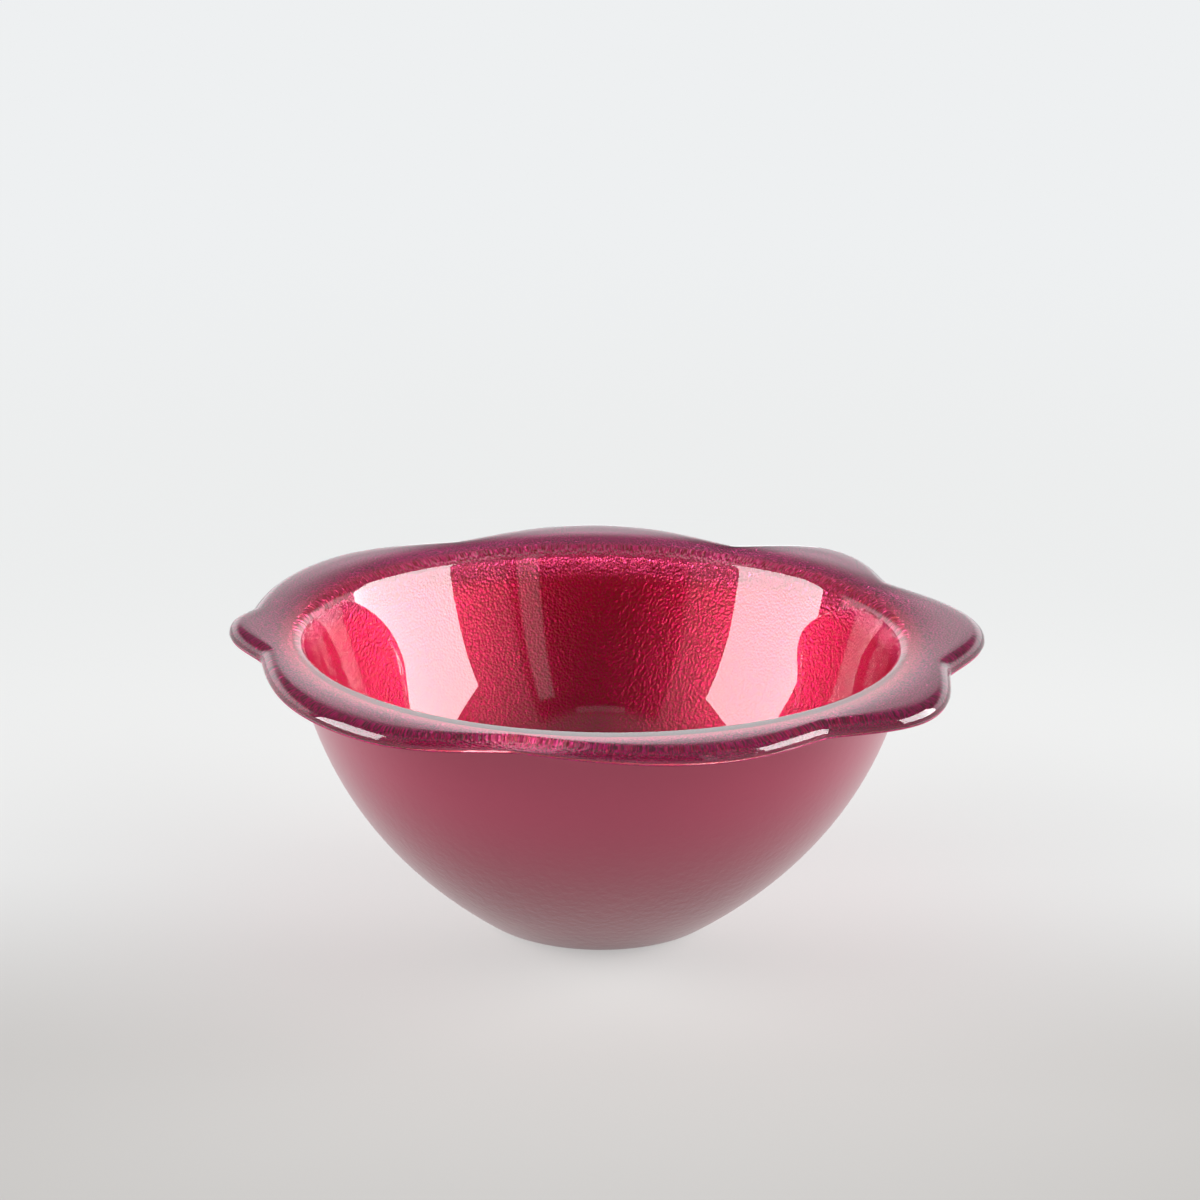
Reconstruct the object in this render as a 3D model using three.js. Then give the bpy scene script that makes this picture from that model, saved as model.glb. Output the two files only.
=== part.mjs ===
// A soup bowl of clear slumped glass with a level rim cut to eight uneven lobes. The glass is one
// sheet of even thickness. A metallic colour coat lies on its underside and is seen through it,
// and a satin top coat protects the colour. Millimetres, +Z up. The origin is the centre of the
// foot, on the surface that the bowl stands on.

import * as THREE from 'three';
import { mergeVertices } from 'three/addons/utils/BufferGeometryUtils.js';

// Driving dimensions of the sheet and its coats
const RIM_HEIGHT = 71.5; // from the table to the top of the rim
const GLASS_THICKNESS = 3.5;
const COLOUR_COAT_THICKNESS = 0.15;
const TOP_COAT_THICKNESS = 0.15;

// Driving dimensions of the underside of the glass, from the foot to the rim
const FOOT_RADIUS = 25; // the flat part
const FOOT_BLEND_RADIUS = 8; // the arc from the foot to the wall
const WALL_FOOT_SLOPE = 35; // degrees from level, where the wall leaves that arc
const WALL_FOOT_PULL = 0.596; // how far the wall keeps this slope, as a share of its chord
const WALL_MOUTH_SLOPE = 70; // degrees from level, where the wall meets the rim's bend
const WALL_MOUTH_PULL = 0.122;
const RIM_BEND_RADIUS = 2; // the arc from the wall to the rim
const RIM_START_RADIUS = 75.1; // where that arc ends and the rim starts
const RIM_START_SLOPE = 5; // degrees from level, where the rim starts
const RIM_LEVEL_RADIUS = 84; // where the rim gets level

// The arc from the wall to the rim on the top of the glass, which is a little fuller there
const TOP_BEND_RADIUS = 3.2;

// The rim's width beyond RIM_START_RADIUS where its outline turns: a lobe's tip, then the notch
// that follows it, as [degrees from +X, width]
const RIM_TURNS = [
  [5.4, 17.4], [30.7, 9.4],
  [50.6, 19.0], [65.7, 7.5],
  [90.8, 17.8], [116.1, 9.4],
  [138.7, 16.0], [170.5, 11.3],
  [177, 14.1], [193.6, 6.6],
  [236, 14.2], [257, 6.2],
  [287, 12.8], [307, 8.4],
  [324, 16.3], [345, 9.4],
];
const LOBE_FULLNESS = 0.75; // 1 is an even wave, and less makes the lobes broad and the notches narrow

// Driving dimensions of the rim's ground edge
const UPPER_ARRIS = 3; // the rounding at the top of the edge
const LOWER_ARRIS = 0.4; // how far the bevel under it runs in

// Facets round the bowl, and steps along each stretch of the profile
const FACETS_AROUND = 80;
const FOOT_BLEND_STEPS = 2;
const WALL_STEPS = 6;
const RIM_BEND_STEPS = 3;
const RIM_STEPS = 3;
const UPPER_ARRIS_STEPS = 3;

const radians = THREE.MathUtils.degToRad;

// Sizes that follow from the dimensions
const COATS_THICKNESS = COLOUR_COAT_THICKNESS + TOP_COAT_THICKNESS;
const FOOT_Z = COATS_THICKNESS; // underside of the glass at the foot
const RIM_UNDERSIDE_Z = RIM_HEIGHT - GLASS_THICKNESS; // of the level part of the rim
const RIM_RISE_RADIUS = (RIM_LEVEL_RADIUS - RIM_START_RADIUS) / Math.sin(radians(RIM_START_SLOPE));
const BEND_HALF_TURN = (WALL_MOUTH_SLOPE - RIM_START_SLOPE) / 2;
const FACET_ANGLES = Array.from({ length: FACETS_AROUND }, (_, i) => (360 * i) / FACETS_AROUND);

// A point of the profile as [radius, z], and the direction out of the underside there
function station(point, out) {
  return { point, out };
}

// The direction out of the underside where its slope from level is the given number of degrees
function outAtSlope(slope) {
  return new THREE.Vector2(Math.sin(radians(slope)), -Math.cos(radians(slope)));
}

// Stations along an arc, from one slope to another. The radius is negative where the arc is
// hollow underneath, as at the rim's bend.
function arcStations(centre, radius, fromSlope, toSlope, steps) {
  return Array.from({ length: steps + 1 }, (_, i) => {
    const out = outAtSlope(THREE.MathUtils.lerp(fromSlope, toSlope, i / steps));
    return station(centre.clone().addScaledVector(out, radius), out);
  });
}

// Stations along the wall, between its two ends
function wallStations(foot, mouth) {
  const chord = foot.distanceTo(mouth);
  const along = (slope, length) => outAtSlope(slope + 90).multiplyScalar(length);
  const wall = new THREE.CubicBezierCurve(
    foot,
    foot.clone().add(along(WALL_FOOT_SLOPE, WALL_FOOT_PULL * chord)),
    mouth.clone().sub(along(WALL_MOUTH_SLOPE, WALL_MOUTH_PULL * chord)),
    mouth,
  );
  return Array.from({ length: WALL_STEPS - 1 }, (_, i) => {
    const t = (i + 1) / WALL_STEPS;
    const tangent = wall.getTangent(t);
    return station(wall.getPoint(t), new THREE.Vector2(tangent.y, -tangent.x));
  });
}

// The height of the rim's underside. The rim rises in a shallow arc up to RIM_LEVEL_RADIUS.
function rimUndersideZ(radius) {
  const short = Math.max(0, RIM_LEVEL_RADIUS - radius);
  return RIM_UNDERSIDE_Z - RIM_RISE_RADIUS + Math.sqrt(RIM_RISE_RADIUS ** 2 - short ** 2);
}

// The points of the rim's bend, on the surface at a given distance out of the glass's underside.
// Its arc is tangent to the wall and to the rim, which would meet in a corner without it.
function bendPoints(distance) {
  const radius = distance < 0 ? TOP_BEND_RADIUS : RIM_BEND_RADIUS - distance;
  const rimStart = new THREE.Vector2(RIM_START_RADIUS, rimUndersideZ(RIM_START_RADIUS));
  const alongRim = outAtSlope(RIM_START_SLOPE + 90);
  const toCorner = -RIM_BEND_RADIUS * Math.tan(radians(BEND_HALF_TURN));
  const corner = rimStart.addScaledVector(alongRim, toCorner);
  const toCentre = (radius + distance) / Math.cos(radians(BEND_HALF_TURN));
  const centre = corner.addScaledVector(outAtSlope(RIM_START_SLOPE + BEND_HALF_TURN), toCentre);
  return arcStations(centre, -radius, WALL_MOUTH_SLOPE, RIM_START_SLOPE, RIM_BEND_STEPS)
    .map(({ point }) => point);
}

// The underside of the glass from the edge of the flat foot to the rim's bend
function undersideStations() {
  const footArc = arcStations(
    new THREE.Vector2(FOOT_RADIUS, FOOT_Z + FOOT_BLEND_RADIUS),
    FOOT_BLEND_RADIUS, 0, WALL_FOOT_SLOPE, FOOT_BLEND_STEPS,
  );
  return [...footArc, ...wallStations(footArc.at(-1).point, bendPoints(0)[0])];
}

// The rim's width at an angle in degrees
function rimWidth(angle) {
  const before = RIM_TURNS.findLastIndex(([turn]) => turn <= angle);
  const [from, fromWidth] = RIM_TURNS.at(before);
  const [to, toWidth] = RIM_TURNS[(before + 1) % RIM_TURNS.length];
  const along = ((angle - from + 360) % 360) / ((to - from + 360) % 360);
  const towardsTip = toWidth > fromWidth ? along : 1 - along;
  const rise = THREE.MathUtils.smoothstep(towardsTip, 0, 1) ** LOBE_FULLNESS;
  return THREE.MathUtils.lerp(Math.min(fromWidth, toWidth), Math.max(fromWidth, toWidth), rise);
}

// A ring of points round the axis, from their radius and height at an angle
function ring(pointAt) {
  return FACET_ANGLES.map((angle) => {
    const [radius, z] = pointAt(angle);
    return [radius * Math.cos(radians(angle)), radius * Math.sin(radians(angle)), z];
  });
}

// A ring on the rim, a share of the way from the rim's start to its lobed outline less an inset.
// Its height is that of the underside there, and the rise above it.
function rimRing(share, inset, rise) {
  return ring((angle) => {
    const radius = RIM_START_RADIUS + share * (rimWidth(angle) - inset);
    return [radius, rimUndersideZ(radius) + rise];
  });
}

// The rings of a surface that lies a given distance out of the glass's underside, from the edge
// of the foot to the edge of the rim
function layerRings(distance, rimInset) {
  const sides = UNDERSIDE.map(({ point, out }) => point.clone().addScaledVector(out, distance));
  const round = [...sides, ...bendPoints(distance)].map(({ x, y }) => ring(() => [x, y]));
  const rim = Array.from({ length: RIM_STEPS }, (_, i) => (
    rimRing((i + 1) / RIM_STEPS, rimInset, -distance)
  ));
  return [...round, ...rim];
}

// The disc inside a ring, as rings
function disc(edge) {
  return [ring(() => [0, edge[0][2]]), edge];
}

// The triangles between rings that are listed outwards from the axis. Facing is 1 where the
// surface faces up or outwards and -1 where it faces down. Both split a facet along the same
// diagonal, so that two pieces that touch share their facets.
function skin(rings, facing) {
  const triangles = [];
  const add = (a, b, c) => triangles.push(...(facing > 0 ? [a, b, c] : [a, c, b]));
  for (let i = 0; i + 1 < rings.length; i++) {
    const [inner, outer] = [rings[i], rings[i + 1]];
    for (let j = 0; j < FACETS_AROUND; j++) {
      const next = (j + 1) % FACETS_AROUND;
      add(inner[j], outer[j], outer[next]);
      const pole = Math.hypot(inner[j][0], inner[j][1]) === 0;
      if (!pole) add(inner[j], outer[next], inner[next]);
    }
  }
  return triangles;
}

// One closed body from the skins that bound it
function closedBody(...skins) {
  const geometry = new THREE.BufferGeometry();
  geometry.setAttribute('position', new THREE.Float32BufferAttribute(skins.flat(2), 3));
  return mergeVertices(geometry);
}

function glassBody() {
  const upper = layerRings(-GLASS_THICKNESS, UPPER_ARRIS);
  const under = layerRings(0, LOWER_ARRIS);
  const edge = Array.from({ length: UPPER_ARRIS_STEPS }, (_, i) => {
    const turn = (Math.PI / 2) * ((i + 1) / UPPER_ARRIS_STEPS);
    const drop = UPPER_ARRIS * (1 - Math.cos(turn));
    return rimRing(1, UPPER_ARRIS * (1 - Math.sin(turn)), GLASS_THICKNESS - drop);
  });
  return closedBody(
    skin(disc(upper[0]), 1), skin(upper, 1), skin([upper.at(-1), ...edge, under.at(-1)], 1),
    skin(under, -1), skin(disc(under[0]), -1),
  );
}

function colourCoat() {
  const upper = layerRings(0, LOWER_ARRIS);
  const under = layerRings(COLOUR_COAT_THICKNESS, LOWER_ARRIS);
  return closedBody(
    skin(disc(upper[0]), 1), skin(upper, 1), skin([upper.at(-1), under.at(-1)], 1),
    skin(under, -1), skin(disc(under[0]), -1),
  );
}

// The top coat on the wall and the rim, which ends at the edge of the foot
function topCoat() {
  const upper = layerRings(COLOUR_COAT_THICKNESS, LOWER_ARRIS);
  const under = layerRings(COATS_THICKNESS, LOWER_ARRIS);
  return closedBody(
    skin(upper, 1), skin([upper.at(-1), under.at(-1)], 1),
    skin(under, -1), skin([upper[0], under[0]], -1),
  );
}

// The top coat under the foot, which the bowl stands on
function footCoat() {
  const upper = layerRings(COLOUR_COAT_THICKNESS, LOWER_ARRIS)[0];
  const under = layerRings(COATS_THICKNESS, LOWER_ARRIS)[0];
  return closedBody(skin(disc(upper), 1), skin([upper, under], 1), skin(disc(under), -1));
}

function piece(name, geometry, look) {
  const mesh = new THREE.Mesh(geometry, new THREE.MeshStandardMaterial({ flatShading: true, ...look }));
  mesh.name = name;
  return mesh;
}

const UNDERSIDE = undersideStations();
const CLEAR_GLASS = { color: 0xf4e9ee, roughness: 0.03, metalness: 0, transparent: true, opacity: 0.35 };
const METALLIC_CRIMSON = { color: 0xa01338, roughness: 0.35, metalness: 0.8 };
const SATIN_ROSE = { color: 0x9c3a55, roughness: 0.4, metalness: 0.1 };

const bowl = new THREE.Group();
bowl.name = 'soup_bowl';
bowl.add(
  piece('glass_body', glassBody(), CLEAR_GLASS),
  piece('colour_coat', colourCoat(), METALLIC_CRIMSON),
  piece('top_coat', topCoat(), SATIN_ROSE),
  piece('foot_coat', footCoat(), SATIN_ROSE),
);

export default bowl;
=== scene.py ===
# A soup bowl of clear slumped glass with a level rim cut to eight uneven lobes. A metallic colour
# coat lies under the glass and a satin top coat covers it. The looks are built round the packed
# solids. Metres, +Z up, and the photograph was taken looking along +Y.

import math

import bpy
from mathutils import Matrix, Vector


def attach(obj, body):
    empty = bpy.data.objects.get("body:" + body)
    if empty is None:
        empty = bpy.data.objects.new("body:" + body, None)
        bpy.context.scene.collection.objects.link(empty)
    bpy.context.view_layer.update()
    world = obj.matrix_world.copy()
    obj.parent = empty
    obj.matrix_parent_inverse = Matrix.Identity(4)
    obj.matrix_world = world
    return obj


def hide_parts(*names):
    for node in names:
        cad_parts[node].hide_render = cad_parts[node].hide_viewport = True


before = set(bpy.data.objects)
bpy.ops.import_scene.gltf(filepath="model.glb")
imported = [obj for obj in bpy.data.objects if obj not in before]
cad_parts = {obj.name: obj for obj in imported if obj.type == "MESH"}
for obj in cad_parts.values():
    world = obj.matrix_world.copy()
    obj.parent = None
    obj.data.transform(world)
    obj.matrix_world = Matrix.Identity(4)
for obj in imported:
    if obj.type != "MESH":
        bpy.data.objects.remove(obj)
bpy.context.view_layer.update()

MM = 0.001

# The sheet and its coats, as in the solids
RIM_HEIGHT = 71.5 * MM
GLASS_THICKNESS = 3.5 * MM
COLOUR_COAT_THICKNESS = 0.15 * MM
TOP_COAT_THICKNESS = 0.15 * MM
COATS_THICKNESS = COLOUR_COAT_THICKNESS + TOP_COAT_THICKNESS

# The underside of the glass, from the foot to the rim
FOOT_RADIUS = 25 * MM
FOOT_Z = COATS_THICKNESS
FOOT_BLEND_RADIUS = 8 * MM
WALL_FOOT_SLOPE = 35
WALL_FOOT_PULL = 0.596
WALL_MOUTH_SLOPE = 70
WALL_MOUTH_PULL = 0.122
RIM_BEND_RADIUS = 2 * MM
TOP_BEND_RADIUS = 3.2 * MM
RIM_START_RADIUS = 75.1 * MM
RIM_START_SLOPE = 5
RIM_LEVEL_RADIUS = 84 * MM
RIM_UNDERSIDE_Z = RIM_HEIGHT - GLASS_THICKNESS
RIM_RISE_RADIUS = (RIM_LEVEL_RADIUS - RIM_START_RADIUS) / math.sin(math.radians(RIM_START_SLOPE))
BEND_HALF_TURN = (WALL_MOUTH_SLOPE - RIM_START_SLOPE) / 2

# The rim's width where its outline turns, tip and notch by turns, as (degrees from +X, mm)
RIM_TURNS = [
    (5.4, 17.4), (30.7, 9.4), (50.6, 19.0), (65.7, 7.5), (90.8, 17.8), (116.1, 9.4),
    (138.7, 16.0), (170.5, 11.3), (177, 14.1), (193.6, 6.6), (236, 14.2), (257, 6.2),
    (287, 12.8), (307, 8.4), (324, 16.3), (345, 9.4),
]
LOBE_FULLNESS = 0.75
UPPER_ARRIS = 3 * MM
LOWER_ARRIS = 0.4 * MM

# What the reflections ask for: the inside has a wall curve of its own, which stays within 0.3 mm of
# an even sheet, and the wall stands off centre by a hair half way up.
INSIDE_FOOT_PULL = 0.512
INSIDE_MOUTH_SLOPE = 73
INSIDE_MOUTH_PULL = 0.264
LEAN = 0.22 * MM
LEAN_STARTS = (8, 46)  # mm of height, over which the lean grows
LEAN_ENDS = (48, 68)  # and over which it goes back

# How finely the pieces are drawn
STEPS_ROUND = 360
DISC_STEPS = 8
FOOT_BLEND_STEPS = 6
WALL_STEPS = 36
RIM_BEND_STEPS = 12
RIM_STATIONS = [width * MM for width in (1, 2.5, 4, 5.5, 7, 9)]
UPPER_ARRIS_STEPS = 10
DRAWN_RIM_WIDTH = 14 * MM  # of the round rim, before its lobes are cut
BOND = 0.02 * MM  # how far the colour coat reaches into the glass
WELD = 0.001 * MM
SMOOTH_BELOW = 40  # degrees between two faces


# The profile


def out_at(slope):
    """The direction out of the underside, as (radius, z), where it slopes by these degrees."""
    return Vector((math.sin(math.radians(slope)), -math.cos(math.radians(slope))))


def arc(centre, radius, start, end, steps):
    slopes = [start + (end - start) * i / steps for i in range(steps + 1)]
    return [(centre + out_at(slope) * radius, out_at(slope)) for slope in slopes]


def smooth(t):
    t = min(1, max(0, t))
    return t * t * (3 - 2 * t)


def wall(foot, mouth, mouth_slope, foot_pull, mouth_pull):
    """Points and outward directions along a curve of the wall, without its two ends."""
    chord = (mouth - foot).length
    a = foot + out_at(WALL_FOOT_SLOPE + 90) * foot_pull * chord
    b = mouth - out_at(mouth_slope + 90) * mouth_pull * chord
    found = []
    for i in range(1, WALL_STEPS):
        t = i / WALL_STEPS
        s = 1 - t
        point = foot * s ** 3 + a * 3 * s * s * t + b * 3 * s * t * t + mouth * t ** 3
        along = ((a - foot) * s * s + (b - a) * 2 * s * t + (mouth - b) * t * t).normalized()
        found.append((point, Vector((along.y, -along.x))))
    return found


def on_rim(radius):
    """A point of the rim's underside, which rises in a shallow arc until it is level."""
    short = max(0, RIM_LEVEL_RADIUS - radius)
    return Vector((radius, RIM_UNDERSIDE_Z - RIM_RISE_RADIUS + math.sqrt(RIM_RISE_RADIUS ** 2 - short ** 2)))


def bend(distance):
    """The points of the rim's bend, on the surface at a distance out of the underside."""
    inside = distance == -GLASS_THICKNESS
    radius = TOP_BEND_RADIUS if inside else RIM_BEND_RADIUS - distance
    half = math.radians(BEND_HALF_TURN)
    corner = on_rim(RIM_START_RADIUS) - out_at(RIM_START_SLOPE + 90) * RIM_BEND_RADIUS * math.tan(half)
    to_centre = out_at(RIM_START_SLOPE + BEND_HALF_TURN) * (radius + distance) / math.cos(half)
    start = INSIDE_MOUTH_SLOPE if inside else WALL_MOUTH_SLOPE
    stations = arc(corner + to_centre, -radius, start, RIM_START_SLOPE, RIM_BEND_STEPS)
    return [point for point, out in stations]


def foot():
    """The underside from the axis to the wall's start, as (point, out)."""
    centre = Vector((FOOT_RADIUS, FOOT_Z + FOOT_BLEND_RADIUS))
    disc = [(Vector((FOOT_RADIUS * i / DISC_STEPS, FOOT_Z)), out_at(0)) for i in range(DISC_STEPS)]
    return disc + arc(centre, FOOT_BLEND_RADIUS, 0, WALL_FOOT_SLOPE, FOOT_BLEND_STEPS)


def below_bend(distance):
    """The surface at a distance out of the underside, from the axis to the rim's bend."""
    start = [point + out * distance for point, out in foot()]
    if distance == -GLASS_THICKNESS:
        mouth = bend(distance)[0]
        rise = wall(start[-1], mouth, INSIDE_MOUTH_SLOPE, INSIDE_FOOT_PULL, INSIDE_MOUTH_PULL)
        return start + [point for point, out in rise]
    rise = wall(foot()[-1][0], bend(0)[0], WALL_MOUTH_SLOPE, WALL_FOOT_PULL, WALL_MOUTH_PULL)
    return start + [point + out * distance for point, out in rise]


def layer(distance, inset):
    """The profile of a surface at a distance out of the underside, from the axis to the edge."""
    widths = RIM_STATIONS + [DRAWN_RIM_WIDTH - inset]
    rim = [on_rim(RIM_START_RADIUS + width) + out_at(0) * distance for width in widths]
    return below_bend(distance) + bend(distance) + rim


def edge_of_glass():
    """The round at the top of the ground edge. A small bevel goes from its end to the underside."""
    centre = Vector((RIM_START_RADIUS + DRAWN_RIM_WIDTH - UPPER_ARRIS, RIM_HEIGHT - UPPER_ARRIS))
    turns = [math.radians(90 * i / UPPER_ARRIS_STEPS) for i in range(1, UPPER_ARRIS_STEPS + 1)]
    return [centre + Vector((math.sin(turn), math.cos(turn))) * UPPER_ARRIS for turn in turns]


def rim_width(angle):
    """The rim's width in metres at an angle in degrees."""
    turns = [RIM_TURNS[-1]] + RIM_TURNS + [RIM_TURNS[0]]
    turns[0] = (turns[0][0] - 360, turns[0][1])
    turns[-1] = (turns[-1][0] + 360, turns[-1][1])
    for (start, from_width), (end, to_width) in zip(turns, turns[1:]):
        if start <= angle <= end:
            break
    t = (angle - start) / (end - start)
    if to_width < from_width:
        t = 1 - t
    rise = smooth(t) ** LOBE_FULLNESS
    low, high = sorted((from_width, to_width))
    return (low + (high - low) * rise) * MM


# Modelling


def turned(name, profile):
    """A piece spun from a point that is extruded along its profile."""
    bpy.ops.object.select_all(action="DESELECT")
    bpy.ops.mesh.primitive_plane_add(size=MM)
    piece = bpy.context.object
    piece.name = piece.data.name = name
    bpy.ops.object.mode_set(mode="EDIT")
    bpy.ops.mesh.merge(type="CENTER")
    bpy.ops.transform.translate(value=(profile[0].x, 0, profile[0].y))
    for start, end in zip(profile, profile[1:]):
        move = (end.x - start.x, 0, end.y - start.y)
        bpy.ops.mesh.extrude_vertices_move(TRANSFORM_OT_translate={"value": move})
    bpy.ops.mesh.select_all(action="SELECT")
    bpy.ops.mesh.spin(steps=STEPS_ROUND, angle=2 * math.pi, center=(0, 0, 0), axis=(0, 0, 1))
    bpy.ops.mesh.select_all(action="SELECT")
    bpy.ops.mesh.remove_doubles(threshold=WELD)
    bpy.ops.mesh.normals_make_consistent(inside=False)
    bpy.ops.object.mode_set(mode="OBJECT")
    cut_lobes(piece)
    lean(piece)
    bpy.ops.object.shade_smooth_by_angle(angle=math.radians(SMOOTH_BELOW))
    return piece


def cut_lobes(piece):
    """Draws the round rim in or out to its lobed outline and keeps the edge's own shape."""
    for vertex in piece.data.vertices:
        x, y, z = vertex.co
        radius = math.hypot(x, y)
        reach = min(1, (radius - RIM_START_RADIUS) / (DRAWN_RIM_WIDTH - UPPER_ARRIS))
        if reach > 0:
            angle = math.atan2(y, x)
            drawn_to = radius + reach * (rim_width(math.degrees(angle) % 360) - DRAWN_RIM_WIDTH)
            rise = on_rim(drawn_to).y - on_rim(radius).y
            vertex.co = (drawn_to * math.cos(angle), drawn_to * math.sin(angle), z + rise)
    piece.data.update()


def lean(piece):
    """Moves the middle of the wall a little to the right, which the reflections ask for."""
    (low, full), (fading, gone) = LEAN_STARTS, LEAN_ENDS
    for vertex in piece.data.vertices:
        height = vertex.co.z / MM
        share = smooth((height - low) / (full - low)) * (1 - smooth((height - fading) / (gone - fading)))
        vertex.co.x += LEAN * share
    piece.data.update()


def make_glass():
    profile = layer(-GLASS_THICKNESS, UPPER_ARRIS) + edge_of_glass() + layer(0, LOWER_ARRIS)[::-1]
    return turned("glass_sheet", profile)


def make_colour_coat():
    profile = layer(-BOND, LOWER_ARRIS) + layer(COLOUR_COAT_THICKNESS, LOWER_ARRIS)[::-1]
    return turned("colour_film", profile)


def make_top_coat():
    profile = layer(COLOUR_COAT_THICKNESS, LOWER_ARRIS) + layer(COATS_THICKNESS, LOWER_ARRIS)[::-1]
    return turned("satin_film", profile)


# Shader maths


class Socket:
    """A value in a shader. Arithmetic on it adds Math nodes."""

    def __init__(self, nodes, output):
        self.nodes = nodes
        self.output = output

    def maths(self, operation, *values):
        inputs = {i: value for i, value in enumerate(values)}
        return self.nodes.add("Math", {"operation": operation}, inputs)

    def __add__(self, other):
        return self.maths("ADD", self, other)

    def __radd__(self, other):
        return self.maths("ADD", other, self)

    def __sub__(self, other):
        return self.maths("SUBTRACT", self, other)

    def __rsub__(self, other):
        return self.maths("SUBTRACT", other, self)

    def __mul__(self, other):
        return self.maths("MULTIPLY", self, other)

    def __pow__(self, other):
        return self.maths("POWER", self, other)

    def step(self, low, high):
        """0 up to low, 1 from high on, and smooth between them."""
        inputs = {"Value": self, "From Min": low, "From Max": high}
        return self.nodes.add("MapRange", {"interpolation_type": "SMOOTHSTEP"}, inputs)

    def between(self, low, high, softness):
        """1 from low to high and 0 outside, with soft borders."""
        half = softness / 2
        return self.step(low - half, low + half) * (1 - self.step(high - half, high + half))


class Nodes:
    """The nodes of one material or of the world."""

    def __init__(self, owner):
        owner.use_nodes = True
        self.tree = owner.node_tree
        self.tree.nodes.clear()

    def add(self, kind, settings=None, inputs=None, output=0):
        """Adds a node, sets its settings and then its inputs, and returns one of its outputs."""
        node = self.tree.nodes.new("ShaderNode" + kind)
        for name, value in (settings or {}).items():
            setattr(node, name, value)
        for name, value in (inputs or {}).items():
            if isinstance(value, Socket):
                self.tree.links.new(value.output, node.inputs[name])
            else:
                node.inputs[name].default_value = value
        return Socket(self, node.outputs[output]) if node.outputs else node

    def mix(self, first, second, share):
        """A colour between two others."""
        first, second = [c if isinstance(c, Socket) else (*c, 1) for c in (first, second)]
        return self.add("Mix", {"data_type": "RGBA"}, {0: share, 6: first, 7: second}, 2)

    def split(self, vector):
        return [self.add("SeparateXYZ", inputs={0: vector}, output=i) for i in range(3)]

    def finish(self, shader, kind="Material"):
        self.add("Output" + kind, inputs={"Surface": shader})


def material(name):
    made = bpy.data.materials.new(name)
    return made, Nodes(made)


def wear(piece, finish):
    piece.data.materials.clear()
    piece.data.materials.append(finish)


# Finishes

# The colour coat's crinkles, and where they change
CRINKLE = 0.7 * MM
FOLD = 1.1 * MM
FLAKE = 0.4 * MM
CRINKLE_RELIEF = 0.1
MORE_RELIEF_AT_BEND = 0.2
FLAKE_RELIEF = 0.01
SMOOTHER_AT_EDGE = 0.8
# Heights of the bend, where the crinkles grow and the painted highlight comes in
BEND_HEIGHTS = (61 * MM, 66 * MM)
# Radii over which the rim's painted shade comes in
RIM_SHADE_RADII = (74 * MM, 79 * MM)
EDGE_RADII = (79 * MM, 88 * MM)
DEEP_RED = (0.5, 0.001, 0.015)
FLAKE_RED = (0.70, 0.012, 0.095)
# Painted highlight: a paler pink on the flakes at the bend
BEND_HIGHLIGHT_PINK = (0.95, 0.08, 0.26)
# Painted shade: the coat is darker and more purple on the rim
RIM_SHADED_DEEP = (0.12, 0.002, 0.03)
RIM_SHADED_FLAKE = (0.75, 0.03, 0.24)

# The top coat's hammer marks, which are strongest at the foot and faint at the rim
HAMMER_MARK = 1.8 * MM
FINE_GRAIN = 0.5 * MM
TOP_COAT_RELIEF = 0.3 * MM
HAMMERED_HEIGHTS = (12 * MM, 55 * MM)
# The top coat's rose, with painted shade that darkens it towards the foot
ROSE_AT_RIM = (0.37, 0.022, 0.075)
SHADED_ROSE_AT_FOOT = (0.23, 0.014, 0.04)


def clear_glass():
    finish, nodes = material("clear_glass")
    nodes.finish(nodes.add("BsdfPrincipled", inputs={
        "Base Color": (1, 0.98, 0.985, 1),
        "Roughness": 0,
        "IOR": 1.5,
        "Transmission Weight": 1,
    }))
    return finish


def metallic_crimson():
    """The colour coat: a crinkled metallic foil, with a deep red between its flakes, a painted highlight at
    the bend and painted shade on the rim.
    """
    finish, nodes = material("metallic_crimson")
    place = nodes.add("TexCoord", output="Object")
    x, y, z = nodes.split(place)
    radius = (x * x + y * y) ** 0.5
    cells = nodes.add("TexVoronoi", {"feature": "F1"}, {"Vector": place, "Scale": 1 / CRINKLE})
    folds = nodes.add("TexNoise", inputs={"Vector": place, "Scale": 1 / FOLD, "Detail": 2})
    flakes = nodes.add("TexNoise", inputs={"Vector": place, "Scale": 1 / FLAKE, "Detail": 1})
    shine = flakes.step(0.38, 0.6)
    bend = z.step(*BEND_HEIGHTS)
    rim = radius.step(*RIM_SHADE_RADII)
    edge = radius.step(*EDGE_RADII)
    crinkles = (cells + folds) * (CRINKLE_RELIEF + bend * MORE_RELIEF_AT_BEND)
    relief = crinkles * (1 - edge * SMOOTHER_AT_EDGE) + flakes * FLAKE_RELIEF
    bump = nodes.add("Bump", inputs={"Height": relief, "Strength": 1, "Distance": MM})
    # Painted highlight: the flakes at the bend are painted a paler pink
    wall = nodes.mix(nodes.mix(DEEP_RED, FLAKE_RED, shine), BEND_HIGHLIGHT_PINK, bend * shine)
    # Painted shade: the rim's coat is painted darker than the wall's
    rim_shaded_colour = nodes.mix(RIM_SHADED_DEEP, RIM_SHADED_FLAKE, shine)
    nodes.finish(nodes.add("BsdfPrincipled", inputs={
        "Base Color": nodes.mix(wall, rim_shaded_colour, rim),
        "Metallic": 0.5 + shine * 0.5,
        "Roughness": 0.36,
        "IOR": 1.8,
        "Normal": bump,
    }))
    return finish


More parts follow.
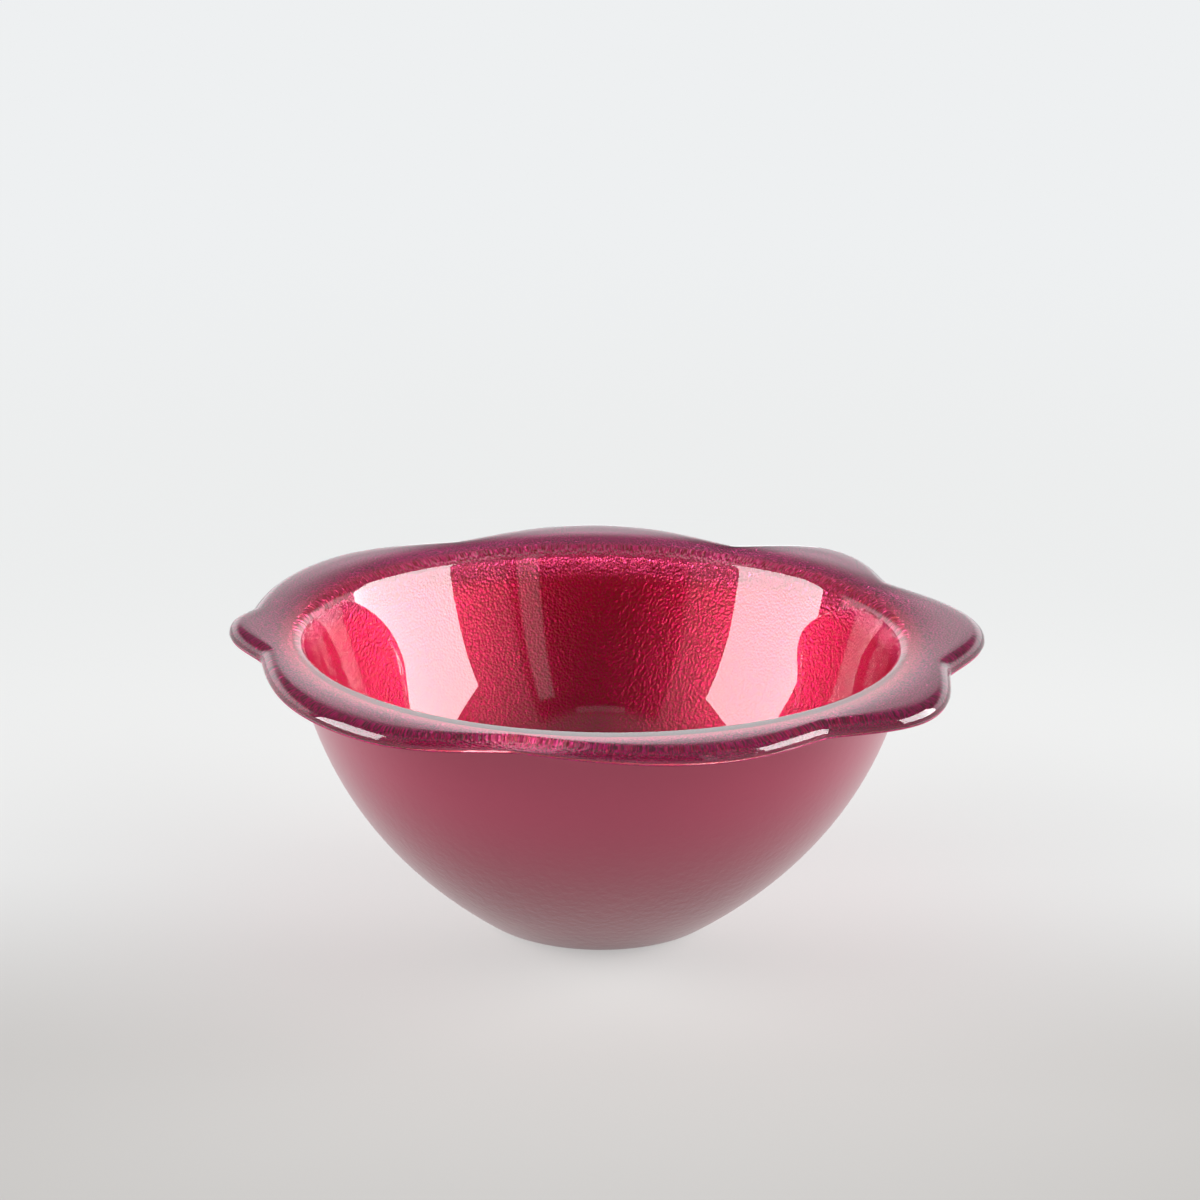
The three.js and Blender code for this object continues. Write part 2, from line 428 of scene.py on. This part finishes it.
def satin_rose():
    """The top coat: satin at the rim and finely hammered towards the foot, where it is also painted darker
    as painted shade.
    """
    finish, nodes = material("satin_rose")
    place = nodes.add("TexCoord", output="Object")
    height = nodes.split(place)[2]
    low_down = 1 - height.step(*HAMMERED_HEIGHTS)
    hammer = nodes.add("TexNoise", inputs={"Vector": place, "Scale": 1 / HAMMER_MARK, "Detail": 2})
    fine = nodes.add("TexNoise", inputs={"Vector": place, "Scale": 1 / FINE_GRAIN, "Detail": 2})
    relief = hammer * (0.15 + low_down * 0.85) + fine * 0.1
    bump = nodes.add("Bump", inputs={"Height": relief, "Strength": 1, "Distance": TOP_COAT_RELIEF})
    nodes.finish(nodes.add("BsdfPrincipled", inputs={
        # Painted shade: the rose darkens towards the foot
        "Base Color": nodes.mix(ROSE_AT_RIM, SHADED_ROSE_AT_FOOT, low_down),
        "Metallic": 0.7,
        "Roughness": 0.38,
        "Coat Weight": 1,
        "Coat Roughness": 0.3,
        "Coat IOR": 1.6,
        "Normal": bump,
    }))
    return finish


# Studio

BACKDROP = (0.855, 0.871, 0.880)
TABLE_BACK = (0.84, 0.85, 0.85)
# Painted shade: the table's front glows darker than its back
TABLE_SHADED_FRONT = (0.50, 0.485, 0.47)
TABLE_LIT = (0.74, 0.735, 0.72)
TABLE_FRONT_FADE = (-0.10, 0.03)  # metres along +Y, from the front's colour to the back's
TABLE_FAR_FADE = (0.3, 0.9)  # metres from the bowl, from the table's colour to the backdrop's
SHADOW_FADE = (0.06, 0.35)  # metres from the bowl, over which its shadow fades
FLOOR_SIZE = 12
CEILING = (0.17, 0.17, 0.18)
SWEEP = (1.65, 1.67, 1.7)
SWEEP_START = 110
SWEEP_TOP = (12.5, 23)
CAMERA_PLACE = (-0.00036, -0.7959, 0.3246)
CAMERA_FALL = 17.17  # degrees below level
CAMERA_ROLL = 0.8
# What stands round the camera, as colour, bearings, heights and softness in degrees
SURROUNDINGS = [
    ((0.5, 0.5, 0.52), (-75, 75), (-5, 60), 10),
    ((0.012, 0.012, 0.012), (-36, 39), (-5, 49), 5),
    ((1.1, 1.1, 1.13), (26, 35), (-5, 42), 2),
    ((0.7, 0.7, 0.72), (-15, 15), (47, 49), 1),
]


def seen_directly(nodes):
    """1 for what the camera sees straight, in a reflection or through glass, and 0 for lighting."""
    camera, glossy, transmission = [
        nodes.add("LightPath", output=name)
        for name in ("Is Camera Ray", "Is Glossy Ray", "Is Transmission Ray")
    ]
    return camera.maths("MAXIMUM", camera.maths("MAXIMUM", camera, glossy), transmission)


def table_white():
    """A pale table. Its glow is even enough that the bowl's shadow stays faint, and it is painted darker
    towards the front as painted shade.
    """
    finish, nodes = material("table_white")
    x, y = nodes.split(nodes.add("TexCoord", output="Object"))[:2]
    distance = (x * x + y * y) ** 0.5
    # Painted shade: the glow darkens towards the front
    front = nodes.mix(TABLE_SHADED_FRONT, TABLE_BACK, y.step(*TABLE_FRONT_FADE))
    lit = nodes.add("BsdfDiffuse", inputs={"Color": (*TABLE_LIT, 1)})
    colour = nodes.mix(front, BACKDROP, distance.step(*TABLE_FAR_FADE))
    glow = nodes.add("Emission", inputs={"Color": colour})
    share = (0.6 + distance.step(*SHADOW_FADE) * 0.4) * seen_directly(nodes)
    nodes.finish(nodes.add("MixShader", inputs={0: share, 1: lit, 2: glow}))
    return finish


def make_table():
    bpy.ops.object.select_all(action="DESELECT")
    bpy.ops.mesh.primitive_plane_add(size=FLOOR_SIZE)
    table = bpy.context.object
    table.name = "table"
    wear(table, table_white())


def make_surroundings():
    """The studio round the bowl, by bearing from the camera's side and by height, in degrees."""
    world = bpy.data.worlds.new("studio")
    bpy.context.scene.world = world
    nodes = Nodes(world)
    x, y, z = nodes.split(nodes.add("TexCoord", output="Generated"))
    bearing = x.maths("ARCTAN2", x, 0 - y) * (180 / math.pi)
    height = z.maths("ARCSINE", z) * (180 / math.pi)
    colour = CEILING
    for level, (start, end), (low, high), softness in SURROUNDINGS:
        share = bearing.between(start, end, softness) * height.between(low, high, softness)
        colour = nodes.mix(colour, level, share)
    sweep = (1 - bearing.between(-SWEEP_START, SWEEP_START, 6)) * (1 - height.step(*SWEEP_TOP))
    colour = nodes.mix(colour, SWEEP, sweep)
    camera = nodes.add("LightPath", output="Is Camera Ray")
    colour = nodes.mix(colour, BACKDROP, camera)
    nodes.finish(nodes.add("Background", inputs={"Color": colour}), "World")


def softbox(name, place, width, height, radiance):
    """A soft lamp at a place, turned to the bowl, with a given radiance."""
    lamp = bpy.data.lights.new(name, "AREA")
    lamp.shape = "RECTANGLE"
    lamp.size = width
    lamp.size_y = height
    lamp.energy = radiance * math.pi * width * height
    holder = bpy.data.objects.new(name, lamp)
    bpy.context.scene.collection.objects.link(holder)
    aim = Vector((0, 0, place[2])) - Vector(place)
    holder.matrix_world = Matrix.Translation(place) @ aim.to_track_quat("-Z", "Y").to_matrix().to_4x4()
    holder.visible_camera = False


def make_lamps():
    softbox("softbox_right", place=(1.0, 0.02, 0.395), width=0.96, height=0.61, radiance=12.5)
    softbox("softbox_left", place=(-1.0, -0.18, 0.475), width=0.78, height=0.745, radiance=11)


def make_camera():
    camera = bpy.data.cameras.new("camera")
    camera.lens = 105
    camera.sensor_width = 36
    camera.clip_start = 0.01
    holder = bpy.data.objects.new("camera", camera)
    bpy.context.scene.collection.objects.link(holder)
    tilt = Matrix.Rotation(math.radians(90 - CAMERA_FALL), 4, "X")
    roll = Matrix.Rotation(math.radians(CAMERA_ROLL), 4, "Z")
    holder.matrix_world = Matrix.Translation(CAMERA_PLACE) @ tilt @ roll
    bpy.context.scene.camera = holder


# The bowl

make_camera()

glass = make_glass()
wear(glass, clear_glass())
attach(glass, "root")
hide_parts("glass_body")

colour_film = make_colour_coat()
wear(colour_film, metallic_crimson())
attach(colour_film, "root")
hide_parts("colour_coat")

satin_film = make_top_coat()
wear(satin_film, satin_rose())
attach(satin_film, "root")
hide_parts("top_coat", "foot_coat")

make_table()
make_surroundings()
make_lamps()
bpy.context.scene.view_settings.view_transform = "Standard"
